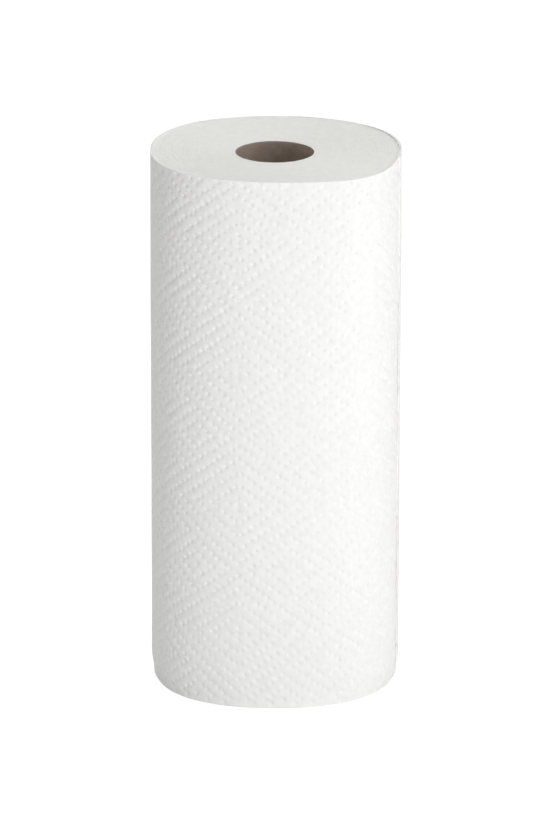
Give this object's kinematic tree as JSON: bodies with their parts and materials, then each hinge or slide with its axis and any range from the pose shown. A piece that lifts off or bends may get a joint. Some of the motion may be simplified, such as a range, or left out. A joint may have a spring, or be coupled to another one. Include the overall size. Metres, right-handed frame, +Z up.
{
  "type": "paper towel roll",
  "caption": "Upright roll of white embossed kitchen paper wound on an open cardboard core, with the sheet's outer end standing slightly off the roll.",
  "frame": {"origin": "centre of the foot on the axis of the core", "axes": "+Z up along the core, +X to the right as the picture sees the roll, where the sheet's outer end stands off it"},
  "size_m": [0.1284, 0.1274, 0.2794],
  "materials": {
    "paper": "matt, soft, embossed with dots",
    "cardboard": "matt grey-brown board, spirally wound"
  },
  "bodies": {
    "root": {"wound_paper": "paper", "core_tube": "cardboard"}
  },
  "joints": []
}
